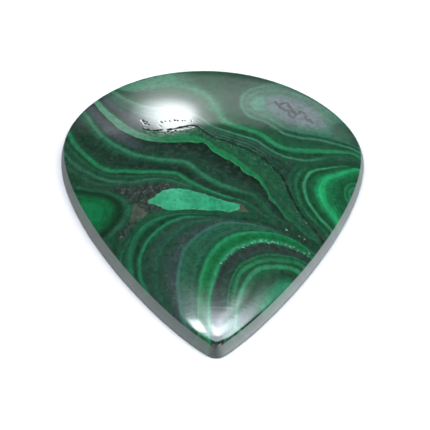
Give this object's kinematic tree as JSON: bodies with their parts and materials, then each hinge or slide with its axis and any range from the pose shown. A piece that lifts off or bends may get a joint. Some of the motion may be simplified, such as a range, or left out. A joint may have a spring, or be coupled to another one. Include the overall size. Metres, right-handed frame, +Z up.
{
  "type": "malachite gemstone cabochon",
  "caption": "Loose malachite gemstone, cut to a wide pear outline with a low polished dome, a narrow wall and a flat back, for setting in a bezel or resting on its back.",
  "frame": {"origin": "middle of the outline's box on the flat back", "axes": "+Z up out of the dome, +Y from the pointed tip to the round crown, +X to the right as seen from the tip"},
  "size_m": [0.035, 0.0416, 0.006],
  "materials": {
    "malachite": "high polish on the dome and wall, banded dark and light green; the back is ground and duller"
  },
  "bodies": {
    "root": {"cabochon": "malachite"}
  },
  "joints": []
}
